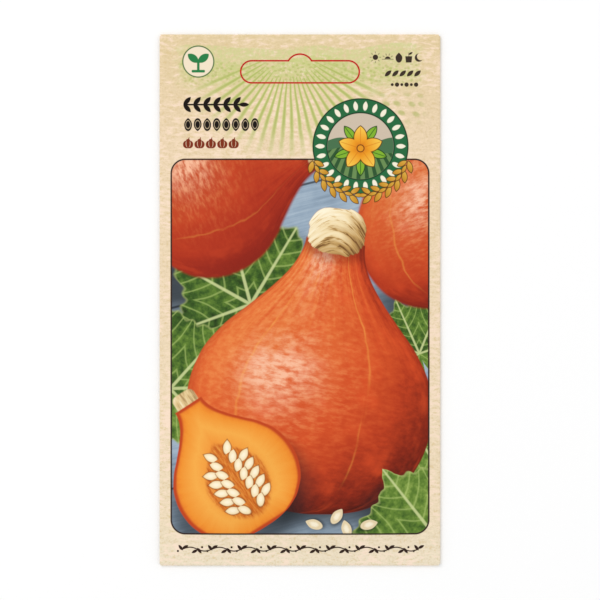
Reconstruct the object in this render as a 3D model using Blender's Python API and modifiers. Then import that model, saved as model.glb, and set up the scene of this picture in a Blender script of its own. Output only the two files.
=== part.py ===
"""A paper seed packet, lying on its back, with its squash seeds inside.

Metres, +Z up. The packet is one sheet of paper: a front panel with a flap on each of its four sides.
The left and right flaps fold behind it and lap over each other as the back. The bottom and top flaps
fold over the back and close the two ends. The front panel faces +Z and its top is towards +Y.
The origin is the middle of the packet's outline, on the surface that it lies on.
"""

import math
import random

import bmesh
import bpy
from mathutils import Matrix, Vector

# The packet
WIDTH = 0.0800
HEIGHT = 0.1515
PAPER = 0.0002
LAYER_GAP = 0.0001
FRONT_EDGE_Z = 0.0010  # middle of the paper at the front panel's edges, which the folds hold up
SEAM_LAP = 0.0120  # how far the two back flaps lie over each other
END_FLAP = 0.0180  # how far the bottom and top flaps reach over the back
END_FLAP_TAPER = 0.0040  # what each end flap loses at either side, towards its free edge
END_RELIEF = 0.0007  # how far the side flaps stop short of the packet's ends
CORNER_RELIEF = 0.0006  # how far the end flaps stop short of the packet's sides
FOLD_STEPS = 6

# The swelling of the front panel over the seeds
SWELL = 0.0035
SIDE_RISE = 0.0210  # from either side edge in to full height
BOTTOM_RISE = 0.0200
TOP_FALL = 0.0560  # from full height down to the flat header
HEADER = 0.0220  # the flat strip with the hang slot
COLUMNS = 20
ROWS = 36

# The hang slot's outline, cut as slits with short ties between them, its tab still in place
SLOT_WIDTH = 0.0338
SLOT_HEIGHT = 0.0063
SLOT_BELOW_TOP = 0.0107  # from the packet's top edge to the slot's centre line
HUMP_WIDTH = 0.0066
HUMP_RISE = 0.0019
SLOT_ROUND = 24
SLIT_WIDTH = 0.0003
TIE = 0.0012
TIES_X = (-0.0090, 0.0, 0.0090)

# The seeds
SEED_LENGTH = 0.0165
SEED_WIDTH = 0.0095
SEED_THICKNESS = 0.0026
SEED_GAP = 0.0003
SEED_TIP = 0.45  # how much narrower the pointed end is than the round one
SEEDS_PER_ROW = (3, 2, 3, 2)
SEED_PITCH_X = 0.0190
SEED_PITCH_Y = 0.0170
FIRST_ROW_Y = 0.0190  # above the packet's bottom edge
SEED_STRAY = 0.0010
SEED_ROUND = 12
SEED_RINGS = 8
RANDOM_SEED = 7

TINY = 0.00001  # points closer than this are taken as one place

# Levels of the paper's middle, from the surface up
PITCH = PAPER + LAYER_GAP
END_FLAP_Z = PAPER / 2
OUTER_FLAP_Z = END_FLAP_Z + PITCH
INNER_FLAP_Z = OUTER_FLAP_Z + PITCH

PAPER_COLOUR = (0.855, 0.716, 0.515, 1.0)
SEED_COLOUR = (0.800, 0.680, 0.450, 1.0)


def clear_scene():
    for obj in list(bpy.data.objects):
        bpy.data.objects.remove(obj, do_unlink=True)


def new_collection(name):
    collection = bpy.data.collections.new(name)
    bpy.context.scene.collection.children.link(collection)
    return collection


def new_material(name, colour, roughness):
    material = bpy.data.materials.new(name)
    material.use_nodes = True
    surface = material.node_tree.nodes["Principled BSDF"]
    surface.inputs["Base Color"].default_value = colour
    surface.inputs["Roughness"].default_value = roughness
    surface.inputs["Metallic"].default_value = 0.0
    return material


def new_object(name, data, collection, material=None):
    obj = bpy.data.objects.new(name, data)
    collection.objects.link(obj)
    if material:
        data.materials.append(material)
    return obj


def everything_in(bm):
    return bm.verts[:] + bm.edges[:] + bm.faces[:]


def smooth_step(distance, reach):
    """0 at no distance, 1 from reach on, with no crease at either end."""
    share = min(max(distance / reach, 0.0), 1.0)
    return share * share * (3 - 2 * share)


def swelling(x, y):
    """How far the seeds lift the front panel above its edges."""
    side = smooth_step(WIDTH / 2 - abs(x), SIDE_RISE)
    bottom = smooth_step(y + HEIGHT / 2, BOTTOM_RISE)
    top = smooth_step(HEIGHT / 2 - HEADER - y, TOP_FALL)
    return SWELL * side * bottom * top


def edges_along(bm, axis, value, low, high):
    """The edges that lie on the line axis = value, between low and high on the other axis."""
    other = 1 - axis
    found = []
    for edge in bm.edges:
        on_line = all(abs(v.co[axis] - value) < TINY for v in edge.verts)
        if on_line and all(low - TINY < v.co[other] < high + TINY for v in edge.verts):
            found.append(edge)
    return found


def fold_flap(bm, edges, outward, level, reach, taper):
    """Rolls the paper over along these edges, down to the given level, and lays a flap back from there."""
    outward = Vector(outward)
    radius = (FRONT_EDGE_Z - level) / 2
    centre = edges[0].verts[0].co - Vector((0, 0, radius))
    corners = list({v for edge in edges for v in edge.verts})
    turned = bmesh.ops.spin(
        bm,
        geom=corners + edges,
        cent=centre,
        axis=outward.cross(Vector((0, 0, -1))),
        angle=math.pi,
        steps=FOLD_STEPS,
    )
    last = [item for item in turned["geom_last"] if isinstance(item, bmesh.types.BMEdge)]
    extruded = bmesh.ops.extrude_edge_only(bm, edges=last)
    tips = [item for item in extruded["geom"] if isinstance(item, bmesh.types.BMVert)]
    bmesh.ops.translate(bm, verts=tips, vec=-outward * reach)
    along = 1 if outward.x else 0
    half = max(abs(v.co[along]) for v in tips)
    narrowed = [1.0, 1.0, 1.0]
    narrowed[along] = (half - taper) / half
    bmesh.ops.scale(bm, verts=tips, vec=narrowed)


def add_envelope(collection, material, slits):
    """The one sheet of paper, folded, with the hang slot's slits cut through every layer of it."""
    radii = {
        "left": (FRONT_EDGE_Z - INNER_FLAP_Z) / 2,
        "right": (FRONT_EDGE_Z - OUTER_FLAP_Z) / 2,
        "end": (FRONT_EDGE_Z - END_FLAP_Z) / 2,
    }
    left = -(WIDTH - PAPER) / 2 + radii["left"]
    right = (WIDTH - PAPER) / 2 - radii["right"]
    top = (HEIGHT - PAPER) / 2 - radii["end"]
    side_half = HEIGHT / 2 - END_RELIEF
    end_half = WIDTH / 2 - CORNER_RELIEF

    bm = bmesh.new()
    bmesh.ops.create_grid(bm, x_segments=COLUMNS, y_segments=ROWS, size=0.5)
    bmesh.ops.scale(bm, verts=bm.verts, vec=(right - left, 2 * top, 1))
    bmesh.ops.translate(bm, verts=bm.verts, vec=((left + right) / 2, 0, FRONT_EDGE_Z))
    # Creases for the reliefs, where the flaps' ends leave the panel
    for cut, normal in (
        ((0, side_half, 0), (0, 1, 0)),
        ((0, -side_half, 0), (0, 1, 0)),
        ((end_half, 0, 0), (1, 0, 0)),
        ((-end_half, 0, 0), (1, 0, 0)),
    ):
        bmesh.ops.bisect_plane(bm, geom=everything_in(bm), plane_co=cut, plane_no=normal)
    panel = bm.verts[:]

    half_lap = SEAM_LAP / 2
    left_edges = edges_along(bm, 0, left, -side_half, side_half)
    right_edges = edges_along(bm, 0, right, -side_half, side_half)
    bottom_edges = edges_along(bm, 1, -top, -end_half, end_half)
    top_edges = edges_along(bm, 1, top, -end_half, end_half)
    fold_flap(bm, left_edges, (-1, 0, 0), INNER_FLAP_Z, half_lap - left, END_RELIEF)
    fold_flap(bm, right_edges, (1, 0, 0), OUTER_FLAP_Z, right + half_lap, END_RELIEF)
    end_reach = END_FLAP - radii["end"]
    fold_flap(bm, bottom_edges, (0, -1, 0), END_FLAP_Z, end_reach, END_FLAP_TAPER)
    fold_flap(bm, top_edges, (0, 1, 0), END_FLAP_Z, end_reach, END_FLAP_TAPER)
    for v in panel:
        v.co.z += swelling(v.co.x, v.co.y)
    bmesh.ops.recalc_face_normals(bm, faces=bm.faces)

    mesh = bpy.data.meshes.new("envelope")
    bm.to_mesh(mesh)
    bm.free()
    mesh.shade_smooth()
    mesh.set_sharp_from_angle(angle=math.radians(50))
    envelope = new_object("envelope", mesh, collection, material)
    sheet = envelope.modifiers.new("paper", "SOLIDIFY")
    sheet.thickness = PAPER
    sheet.offset = 0.0
    sheet.use_even_offset = True
    cut = envelope.modifiers.new("hang_slot_slits", "BOOLEAN")
    cut.operation = "DIFFERENCE"
    cut.solver = "EXACT"
    cut.object = slits
    return envelope


def slot_outline(bm):
    """The hang slot seen from the front, as a closed line: two round ends and a hump over the middle."""
    radius = SLOT_HEIGHT / 2
    reach = SLOT_WIDTH / 2 - radius
    hump_radius = (HUMP_WIDTH**2 / 4 + HUMP_RISE**2) / (2 * HUMP_RISE)
    half_step = math.pi / SLOT_ROUND
    turned = Matrix.Rotation(half_step, 4, "Z")  # so that flat sides touch the circle at its top and bottom
    bmesh.ops.create_circle(bm, segments=SLOT_ROUND, radius=radius / math.cos(half_step), matrix=turned)
    for v in bm.verts:
        v.co.x += math.copysign(reach, v.co.x)
    for side in (-1, 1):
        foot = (side * HUMP_WIDTH / 2, 0, 0)
        bmesh.ops.bisect_plane(bm, geom=everything_in(bm), plane_co=foot, plane_no=(1, 0, 0))
    under_hump = []
    for edge in bm.edges:
        if all(v.co.y > radius - TINY and abs(v.co.x) < HUMP_WIDTH / 2 + TINY for v in edge.verts):
            under_hump.append(edge)
    bmesh.ops.delete(bm, geom=under_hump, context="EDGES")
    place = Matrix.Translation((0, radius + HUMP_RISE - hump_radius, 0))
    hump = bmesh.ops.create_circle(bm, segments=SLOT_ROUND, radius=hump_radius, matrix=place)["verts"]
    ring = hump + list({edge for v in hump for edge in v.link_edges})
    bmesh.ops.bisect_plane(bm, geom=ring, plane_co=(0, radius, 0), plane_no=(0, 1, 0), clear_inner=True)
    bmesh.ops.remove_doubles(bm, verts=bm.verts, dist=PAPER / 2)


def in_tie(point):
    """Whether the slot's outline stays uncut there: at the round ends' middles, and at each tie's x."""
    return abs(point.y) < TIE / 2 or any(abs(point.x - x) < TIE / 2 for x in TIES_X)


def add_slit_cutter(collection):
    """Thin upright blades along the hang slot's outline, with a gap for every tie of paper."""
    bm = bmesh.new()
    slot_outline(bm)
    bmesh.ops.translate(bm, verts=bm.verts, vec=(0, 0, -FRONT_EDGE_Z))
    walls = bmesh.ops.extrude_edge_only(bm, edges=bm.edges)
    raised = [item for item in walls["geom"] if isinstance(item, bmesh.types.BMVert)]
    bmesh.ops.translate(bm, verts=raised, vec=(0, 0, 3 * FRONT_EDGE_Z))
    cuts = [((0, side * TIE / 2, 0), (0, 1, 0)) for side in (-1, 1)]
    cuts += [((x + side * TIE / 2, 0, 0), (1, 0, 0)) for x in TIES_X for side in (-1, 1)]
    for place, normal in cuts:
        bmesh.ops.bisect_plane(bm, geom=everything_in(bm), plane_co=place, plane_no=normal)
    ties = [face for face in bm.faces if in_tie(face.calc_center_median())]
    bmesh.ops.delete(bm, geom=ties, context="FACES")
    bmesh.ops.translate(bm, verts=bm.verts, vec=(0, HEIGHT / 2 - SLOT_BELOW_TOP, 0))
    bmesh.ops.recalc_face_normals(bm, faces=bm.faces)
    mesh = bpy.data.meshes.new("slit_cutter")
    bm.to_mesh(mesh)
    bm.free()
    cutter = new_object("slit_cutter", mesh, collection)
    blade = cutter.modifiers.new("blade", "SOLIDIFY")
    blade.thickness = SLIT_WIDTH
    blade.offset = 0.0
    cutter.hide_render = True
    cutter.display_type = "WIRE"
    return cutter


def seed_mesh():
    """A flat seed, round at one end and pointed at the other, with its middle at the origin."""
    bm = bmesh.new()
    bmesh.ops.create_uvsphere(bm, u_segments=SEED_ROUND, v_segments=SEED_RINGS, radius=0.5)
    bmesh.ops.rotate(bm, verts=bm.verts, matrix=Matrix.Rotation(math.pi / 2, 3, "X"))
    for v in bm.verts:
        tip = max(v.co.y, 0.0) * 2
        v.co.x *= SEED_WIDTH * (1 - SEED_TIP * tip * tip)
        v.co.y *= SEED_LENGTH
        v.co.z *= SEED_THICKNESS
    mesh = bpy.data.meshes.new("seed")
    bm.to_mesh(mesh)
    bm.free()
    mesh.shade_smooth()
    return mesh


def floor_under(x):
    """The top of the back's uppermost layer under a seed: the inner flap reaches past the middle."""
    over_inner_flap = x - SEED_LENGTH / 2 < SEAM_LAP / 2
    return (INNER_FLAP_Z if over_inner_flap else OUTER_FLAP_Z) + PAPER / 2


def add_seeds(collection, material):
    """Loose seeds in one layer in the packet's lower half, in staggered rows, each strayed and turned."""
    draw = random.Random(RANDOM_SEED)
    mesh = seed_mesh()
    mesh.materials.append(material)
    number = 0
    for row, count in enumerate(SEEDS_PER_ROW):
        for place in range(count):
            number += 1
            x = (place - (count - 1) / 2) * SEED_PITCH_X + draw.uniform(-SEED_STRAY, SEED_STRAY)
            y = FIRST_ROW_Y + row * SEED_PITCH_Y - HEIGHT / 2 + draw.uniform(-SEED_STRAY, SEED_STRAY)
            seed = new_object(f"seed_{number:02d}", mesh, collection)
            seed.location = (x, y, floor_under(x) + SEED_GAP + SEED_THICKNESS / 2)
            seed.rotation_euler.z = draw.uniform(0, 2 * math.pi)


def main():
    clear_scene()
    packet = new_collection("seed_packet")
    cutters = new_collection("cutters")
    slits = add_slit_cutter(cutters)
    add_envelope(packet, new_material("printed_paper", PAPER_COLOUR, 0.55), slits)
    add_seeds(packet, new_material("seed_husk", SEED_COLOUR, 0.6))


main()
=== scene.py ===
"""The looks of a paper seed packet that lies on its back: folded paper, print and squash seeds."""

import math

import bmesh
import bpy
from mathutils import Matrix, Vector, noise


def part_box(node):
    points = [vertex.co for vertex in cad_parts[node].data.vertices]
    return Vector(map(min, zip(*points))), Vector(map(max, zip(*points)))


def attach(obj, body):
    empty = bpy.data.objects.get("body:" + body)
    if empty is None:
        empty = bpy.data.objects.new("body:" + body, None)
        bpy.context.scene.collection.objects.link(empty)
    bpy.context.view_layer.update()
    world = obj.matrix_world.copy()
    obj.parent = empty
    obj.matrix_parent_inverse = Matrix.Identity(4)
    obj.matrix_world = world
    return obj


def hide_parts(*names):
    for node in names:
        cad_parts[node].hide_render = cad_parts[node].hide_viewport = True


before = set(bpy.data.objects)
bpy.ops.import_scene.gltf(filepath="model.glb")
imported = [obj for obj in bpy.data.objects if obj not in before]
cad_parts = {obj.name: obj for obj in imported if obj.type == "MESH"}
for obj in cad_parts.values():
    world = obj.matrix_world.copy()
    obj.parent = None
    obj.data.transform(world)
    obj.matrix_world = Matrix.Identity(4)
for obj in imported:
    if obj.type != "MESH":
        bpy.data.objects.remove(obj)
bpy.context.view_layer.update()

bpy.ops.object.select_all(action="DESELECT")
MM = 0.001

# The room: a pale table top, an even white sky of soft light, one large soft lamp over the packet's upper
# left, and a camera straight above it with a long lens.
TABLE_SIZE = 3.0
TABLE_COLOUR = (0.97, 0.97, 0.97, 1.0)
TABLE_ROUGHNESS = 0.9
TABLE_GLOSS = 0.1
SKY_COLOUR = (1.0, 1.0, 1.0, 1.0)
SKY_STRENGTH = 0.88
LAMP_PLACE = (-0.90, 1.00, 1.50)
LAMP_SIZE = 1.00
LAMP_WATTS = 9.0
LENS_MM = 150.0
SENSOR_MM = 36.0
VIEW_WIDTH = 171.07 * MM
NEAREST_SEEN = 0.01
FARTHEST_SEEN = 10.0
FRONT_EDGE = 1.0 * MM  # middle of the paper at the front panel's edges

bpy.ops.mesh.primitive_plane_add(size=TABLE_SIZE, location=(0, 0, 0))
table = bpy.context.object
table.name = "table_top"
table_finish = bpy.data.materials.new("table_top")
table_finish.use_nodes = True
table_surface = table_finish.node_tree.nodes["Principled BSDF"]
table_surface.inputs["Base Color"].default_value = TABLE_COLOUR
table_surface.inputs["Roughness"].default_value = TABLE_ROUGHNESS
table_surface.inputs["Specular IOR Level"].default_value = TABLE_GLOSS
table.data.materials.append(table_finish)

sky = bpy.data.worlds.new("sky")
sky.use_nodes = True
sky.node_tree.nodes["Background"].inputs["Strength"].default_value = SKY_STRENGTH
sky.node_tree.nodes["Background"].inputs["Color"].default_value = SKY_COLOUR
bpy.context.scene.world = sky

bpy.ops.object.light_add(type="AREA", location=LAMP_PLACE)
lamp = bpy.context.object
lamp.data.shape = "DISK"
lamp.data.size = LAMP_SIZE
lamp.data.energy = LAMP_WATTS
lamp.rotation_euler = (-Vector(LAMP_PLACE)).to_track_quat("-Z", "Y").to_euler()

camera_height = FRONT_EDGE + VIEW_WIDTH * LENS_MM / SENSOR_MM
bpy.ops.object.camera_add(location=(0, 0, camera_height), rotation=(0, 0, 0))
camera = bpy.context.object
camera.data.lens = LENS_MM
camera.data.sensor_width = SENSOR_MM
camera.data.clip_start = NEAREST_SEEN
camera.data.clip_end = FARTHEST_SEEN
bpy.context.scene.camera = camera
bpy.context.scene.view_settings.view_transform = "Standard"
bpy.context.scene.view_settings.look = "None"

# The envelope: one sheet of paper. Its left and right flaps fold behind the front panel and lap over each
# other as the back, and its bottom and top flaps fold over the back. The seeds swell the front panel, and
# the paper sags a little between them. The hang slot is perforated through every layer, its tab in place.
PAPER = 0.16 * MM
LAYER_PITCH = 0.3 * MM
END_FLAP_LEVEL = 0.1 * MM
OUTER_FLAP_LEVEL = END_FLAP_LEVEL + LAYER_PITCH
INNER_FLAP_LEVEL = OUTER_FLAP_LEVEL + LAYER_PITCH
HALF_LAP = 6.0 * MM
END_FLAP = 18.0 * MM
END_FLAP_TAPER = 4.0 * MM
SIDE_FLAP_TAPER = 0.5 * MM
FOLD_STEPS = 8
FLAP_ROWS = 6
COLUMNS = 64
ROWS = 120
SHARP_ANGLE = math.radians(45)
TINY = 0.01 * MM

outline_low, outline_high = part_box("envelope")
width = outline_high.x - outline_low.x
height = outline_high.y - outline_low.y
bend_left = (FRONT_EDGE - INNER_FLAP_LEVEL) / 2
bend_right = (FRONT_EDGE - OUTER_FLAP_LEVEL) / 2
bend_end = (FRONT_EDGE - END_FLAP_LEVEL) / 2
left = -(width - PAPER) / 2 + bend_left
right = (width - PAPER) / 2 - bend_right
top = (height - PAPER) / 2 - bend_end

bpy.ops.mesh.primitive_grid_add(x_subdivisions=COLUMNS, y_subdivisions=ROWS, size=1.0)
envelope = bpy.context.object
envelope.name = "printed_envelope"
envelope.scale = (right - left, 2 * top, 1)
envelope.location = ((left + right) / 2, 0, FRONT_EDGE)
bpy.ops.object.transform_apply(location=True, rotation=True, scale=True)


def select_edges_along(obj, axis, value):
    """Leaves only the edges selected on the line where this axis has this value, at the front's level."""
    shape = bmesh.from_edit_mesh(obj.data)
    for face in shape.faces:
        face.select_set(False)
    for edge in shape.edges:
        on_line = all(abs(v.co[axis] - value) < TINY and v.co.z > FRONT_EDGE - TINY for v in edge.verts)
        edge.select_set(on_line)
    shape.select_mode = {"EDGE"}
    shape.select_flush_mode()
    bmesh.update_edit_mesh(obj.data)


def fold_behind(obj, outward, line, bend, reach, taper):
    """Rolls the paper over along one of the panel's edges and lays the flap back behind the panel."""
    outward = Vector(outward)
    axis = 0 if outward.x else 1
    select_edges_along(obj, axis, line)
    centre = outward * abs(line) + Vector((0, 0, FRONT_EDGE - bend))
    turn = Vector((0, 0, -1)).cross(outward)
    bpy.ops.mesh.spin(steps=FOLD_STEPS, angle=math.pi, center=centre, axis=turn)
    narrowed = [1.0, 1.0, 1.0]
    half = top if axis == 0 else (right - left) / 2
    middle = (0, 0, 0) if axis == 0 else ((left + right) / 2, 0, 0)
    for row in range(FLAP_ROWS):
        bpy.ops.mesh.extrude_region_move(TRANSFORM_OT_translate={"value": -outward * reach / FLAP_ROWS})
        narrowed[1 - axis] = (half - taper * (row + 1) / FLAP_ROWS) / (half - taper * row / FLAP_ROWS)
        bpy.ops.transform.resize(value=narrowed, center_override=middle)


bpy.ops.object.mode_set(mode="EDIT")
bpy.ops.mesh.select_mode(type="EDGE")
fold_behind(envelope, (-1, 0, 0), left, bend_left, HALF_LAP - left, SIDE_FLAP_TAPER)
fold_behind(envelope, (1, 0, 0), right, bend_right, HALF_LAP + right, SIDE_FLAP_TAPER)
fold_behind(envelope, (0, -1, 0), -top, bend_end, END_FLAP - bend_end, END_FLAP_TAPER)
fold_behind(envelope, (0, 1, 0), top, bend_end, END_FLAP - bend_end, END_FLAP_TAPER)

# Lines across the sheet where one stretch of print ends and the next begins
PICTURE_TOP = 40.1 * MM
PICTURE_SPLIT = -24.4 * MM
PICTURE_BOTTOM = -66.6 * MM
PRINT_MARGIN = 1.0 * MM
for line in (PICTURE_TOP + PRINT_MARGIN, PICTURE_SPLIT, PICTURE_BOTTOM - PRINT_MARGIN):
    bpy.ops.mesh.select_all(action="SELECT")
    bpy.ops.mesh.bisect(plane_co=(0, line, 0), plane_no=(0, 1, 0))
bpy.ops.object.mode_set(mode="OBJECT")

# The swelling over the seeds, the sag between them, the short wrinkles on its slopes, and the faint lines
# that the end flap and the lapped seam press into the flat header
SWELL = 3.5 * MM
SIDE_RISE = 21.0 * MM
BOTTOM_RISE = 20.0 * MM
TOP_FALL = 56.0 * MM
HEADER = 22.0 * MM
SAG = 0.85 * MM
SEED_REACH = 8.0 * MM
WRINKLE = 0.14 * MM
WRINKLE_PITCH = 7.5 * MM
WRINKLE_STRETCH = 0.3
WAVE = 0.10 * MM
WAVE_LENGTH = 24.0 * MM
HELD_RIM = 8.0 * MM  # how far in from the folds the paper can't wave
PRESSED_LINE = 0.05 * MM
PRESSED_WIDTH = 0.8 * MM
SEEDS = sorted(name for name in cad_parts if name.startswith("seed_"))
seed_middles = [(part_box(name)[0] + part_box(name)[1]) / 2 for name in SEEDS]


def smooth_step(distance, reach):
    """0 at no distance, 1 from reach on, with no crease at either end."""
    share = min(max(distance / reach, 0.0), 1.0)
    return share * share * (3 - 2 * share)


def relief(x, y):
    """How far the front panel lies above its edges."""
    side = smooth_step(width / 2 - abs(x), SIDE_RISE)
    bottom = smooth_step(y + height / 2, BOTTOM_RISE)
    fall = smooth_step(height / 2 - HEADER - y, TOP_FALL)
    held = 0.0
    for seed in seed_middles:
        held += math.exp(-((x - seed.x) ** 2 + (y - seed.y) ** 2) / SEED_REACH**2)
    share = side * bottom * fall
    lift = SWELL * share - SAG * share * (1 - min(held, 1.0))
    slope = 4 * side * (1 - side) * bottom * fall
    lift += WRINKLE * slope * noise.noise(Vector((WRINKLE_STRETCH * x, y, 0.0)) / WRINKLE_PITCH)
    free = smooth_step(width / 2 - abs(x), HELD_RIM) * smooth_step(height / 2 - abs(y), HELD_RIM)
    lift += WAVE * free * (0.5 + noise.noise(Vector((x, y, 0.5)) / WAVE_LENGTH))
    flat = free * (1 - fall)
    for distance in (y - (height / 2 - END_FLAP), x - HALF_LAP, x + HALF_LAP):
        lift += PRESSED_LINE * flat * math.exp(-((distance / PRESSED_WIDTH) ** 2))
    return lift


for vertex in envelope.data.vertices:
    if vertex.co.z > FRONT_EDGE - TINY:
        vertex.co.z += relief(vertex.co.x, vertex.co.y)

# Which print or finish each stretch of the sheet wears: these are the numbers of its material slots
HEADER_PRINT, UPPER_PICTURE, LOWER_PICTURE, FOOTER_PRINT, BACK_PRINT, BARE_PAPER = range(6)
finishes = []
for name in ("header", "upper_picture", "lower_picture", "footer", "back", "bare_paper"):
    finish = bpy.data.materials.new(name)
    finish.use_nodes = True
    finishes.append(finish)
    envelope.data.materials.append(finish)
for face in envelope.data.polygons:
    middle = face.center
    if abs(middle.x) < right and abs(middle.y) < top and middle.z < FRONT_EDGE - TINY:
        face.material_index = BACK_PRINT
    elif middle.y > PICTURE_TOP + PRINT_MARGIN:
        face.material_index = HEADER_PRINT
    elif middle.y > PICTURE_SPLIT:
        face.material_index = UPPER_PICTURE
    elif middle.y > PICTURE_BOTTOM - PRINT_MARGIN:
        face.material_index = LOWER_PICTURE
    else:
        face.material_index = FOOTER_PRINT

# The map that the print is baked through for other programs: the unfolded sheet, with most of the width and
# height given to the front panel, and the bare inside beside it
BAKE_MAP = "OFBake"
NET_SHARE = 0.87
SIDE_SHARE = 0.15
END_SHARE = 0.05
STRIP_MARGIN = 0.1


def unfolded(place):
    """Where a point of the folded sheet lies once the sheet is flat, with the panel where it is."""
    x, y, z = place
    if z > FRONT_EDGE - TINY:
        return x, y
    folds = ((left, bend_left, 0), (right, bend_right, 0), (-top, bend_end, 1), (top, bend_end, 1))
    for line, bend, axis in folds:
        level = FRONT_EDGE - 2 * bend
        outward = math.copysign(1, line)
        past = (place[axis] - line) * outward
        flat_here = abs(z - level) < TINY and past < TINY
        if past > TINY:
            run = bend * math.acos(max(-1.0, min(1.0, (z - FRONT_EDGE + bend) / bend)))
        elif flat_here:
            run = math.pi * bend - past
        else:
            continue
        spot = line + outward * run
        return (spot, y) if axis == 0 else (x, spot)
    return x, y


def shared_out(spot, low, high, far_low, far_high, share):
    """A place along the net as 0 to 1: the panel's stretch takes all but the flaps' share at either end."""
    if spot < low:
        return share * (spot - far_low) / (low - far_low)
    if spot > high:
        return 1 - share * (far_high - spot) / (far_high - high)
    return share + (1 - 2 * share) * (spot - low) / (high - low)


def map_place(place):
    """Where a point of the folded sheet lies in the bake map."""
    x, y = unfolded(place)
    across = math.pi * bend_left + HALF_LAP - left
    across_right = math.pi * bend_right + HALF_LAP + right
    beyond = math.pi * bend_end + END_FLAP - bend_end
    u = shared_out(x, left, right, left - across, right + across_right, SIDE_SHARE)
    v = shared_out(y, -top, top, -top - beyond, top + beyond, END_SHARE)
    return u * NET_SHARE, v


bake_map = envelope.data.uv_layers.new(name=BAKE_MAP)
for loop in envelope.data.loops:
    bake_map.uv[loop.index].vector = map_place(envelope.data.vertices[loop.vertex_index].co)

# The paper's thickness, then the slits
bpy.ops.object.modifier_add(type="SOLIDIFY")
sheet = envelope.modifiers[-1]
sheet.thickness = PAPER
sheet.offset = 0.0
sheet.use_even_offset = True
sheet.material_offset = BARE_PAPER
sheet.material_offset_rim = BARE_PAPER
bpy.ops.object.modifier_apply(modifier=sheet.name)

# The blades that cut the hang slot's slits: its outline as a wall, with a gap for each tie of paper
SLOT_WIDTH = 33.8 * MM
SLOT_HEIGHT = 6.3 * MM
SLOT_BELOW_TOP = 10.7 * MM
HUMP_WIDTH = 6.6 * MM
HUMP_RISE = 1.9 * MM
SLOT_ROUND = 48
SLIT_WIDTH = 0.05 * MM
TIE = 1.2 * MM
TIES_X = (-9.0 * MM, 0.0, 9.0 * MM)
slot_y = height / 2 - SLOT_BELOW_TOP
slot_radius = SLOT_HEIGHT / 2
slot_reach = SLOT_WIDTH / 2 - slot_radius
hump_radius = (HUMP_WIDTH**2 / 4 + HUMP_RISE**2) / (2 * HUMP_RISE)
hump_y = slot_y + slot_radius + HUMP_RISE - hump_radius


def keep_selected(wanted):
    """In edit mode, leaves only the points selected whose place is wanted."""
    shape = bmesh.from_edit_mesh(bpy.context.object.data)
    shape.select_mode = {"VERT"}
    for vertex in shape.verts:
        vertex.select_set(False)
    for vertex in shape.verts:
        vertex.select_set(wanted(vertex.co))
    shape.select_flush_mode()
    bmesh.update_edit_mesh(bpy.context.object.data)


half_step = math.pi / SLOT_ROUND
bpy.ops.mesh.primitive_circle_add(
    vertices=SLOT_ROUND,
    radius=slot_radius / math.cos(half_step),
    location=(0, slot_y, 0),
    rotation=(0, 0, half_step),
)
blades = bpy.context.object
bpy.ops.object.transform_apply(location=True, rotation=True, scale=True)
bpy.ops.object.mode_set(mode="EDIT")
bpy.ops.mesh.select_mode(type="VERT")
for side in (-1, 1):
    keep_selected(lambda place: place.x * side > 0)
    bpy.ops.transform.translate(value=(side * slot_reach, 0, 0))
for side in (-1, 1):
    bpy.ops.mesh.select_all(action="SELECT")
    bpy.ops.mesh.bisect(plane_co=(side * HUMP_WIDTH / 2, 0, 0), plane_no=(1, 0, 0))
keep_selected(lambda place: abs(place.x) < HUMP_WIDTH / 2 + TINY and place.y > slot_y)
bpy.ops.mesh.delete(type="EDGE_FACE")
bpy.ops.mesh.select_all(action="DESELECT")
bpy.ops.mesh.primitive_circle_add(vertices=SLOT_ROUND, radius=hump_radius, location=(0, hump_y, 0))
bpy.ops.mesh.bisect(plane_co=(0, slot_y + slot_radius, 0), plane_no=(0, 1, 0), clear_inner=True)
bpy.ops.mesh.select_all(action="SELECT")
bpy.ops.mesh.remove_doubles(threshold=PAPER / 2)
bpy.ops.transform.translate(value=(0, 0, -FRONT_EDGE))
bpy.ops.mesh.extrude_region_move(TRANSFORM_OT_translate={"value": (0, 0, 3 * FRONT_EDGE)})
cuts = [((0, slot_y + side * TIE / 2, 0), (0, 1, 0)) for side in (-1, 1)]
cuts += [((x + side * TIE / 2, 0, 0), (1, 0, 0)) for x in TIES_X for side in (-1, 1)]
for place, normal in cuts:
    bpy.ops.mesh.select_all(action="SELECT")
    bpy.ops.mesh.bisect(plane_co=place, plane_no=normal)
wall = bmesh.from_edit_mesh(blades.data)
for face in wall.faces:
    spot = face.calc_center_median()
    face.select_set(abs(spot.y - slot_y) < TIE / 2 or any(abs(spot.x - x) < TIE / 2 for x in TIES_X))
bmesh.update_edit_mesh(blades.data)
bpy.ops.mesh.delete(type="FACE")
bpy.ops.mesh.select_all(action="SELECT")
bpy.ops.mesh.normals_make_consistent(inside=False)
bpy.ops.object.mode_set(mode="OBJECT")
bpy.ops.object.modifier_add(type="SOLIDIFY")
blade = blades.modifiers[-1]
blade.thickness = SLIT_WIDTH
blade.offset = 0.0
bpy.ops.object.modifier_apply(modifier=blade.name)

bpy.ops.object.select_all(action="DESELECT")
envelope.select_set(True)
bpy.context.view_layer.objects.active = envelope
bpy.ops.object.modifier_add(type="BOOLEAN")
slits = envelope.modifiers[-1]
slits.operation = "DIFFERENCE"
slits.solver = "EXACT"
slits.object = blades
bpy.ops.object.modifier_apply(modifier=slits.name)
bpy.data.objects.remove(blades)
bpy.ops.object.shade_smooth_by_angle(angle=SHARP_ANGLE)

# The bare inside and the cut edges lie in the strip beside the net
for face in envelope.data.polygons:
    if face.material_index >= BARE_PAPER:
        for corner in face.loop_indices:
            place = envelope.data.uv_layers[BAKE_MAP].uv[corner].vector
            along = STRIP_MARGIN + (1 - STRIP_MARGIN) * place.x / NET_SHARE
            place.x = NET_SHARE + (1 - NET_SHARE) * along

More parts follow.
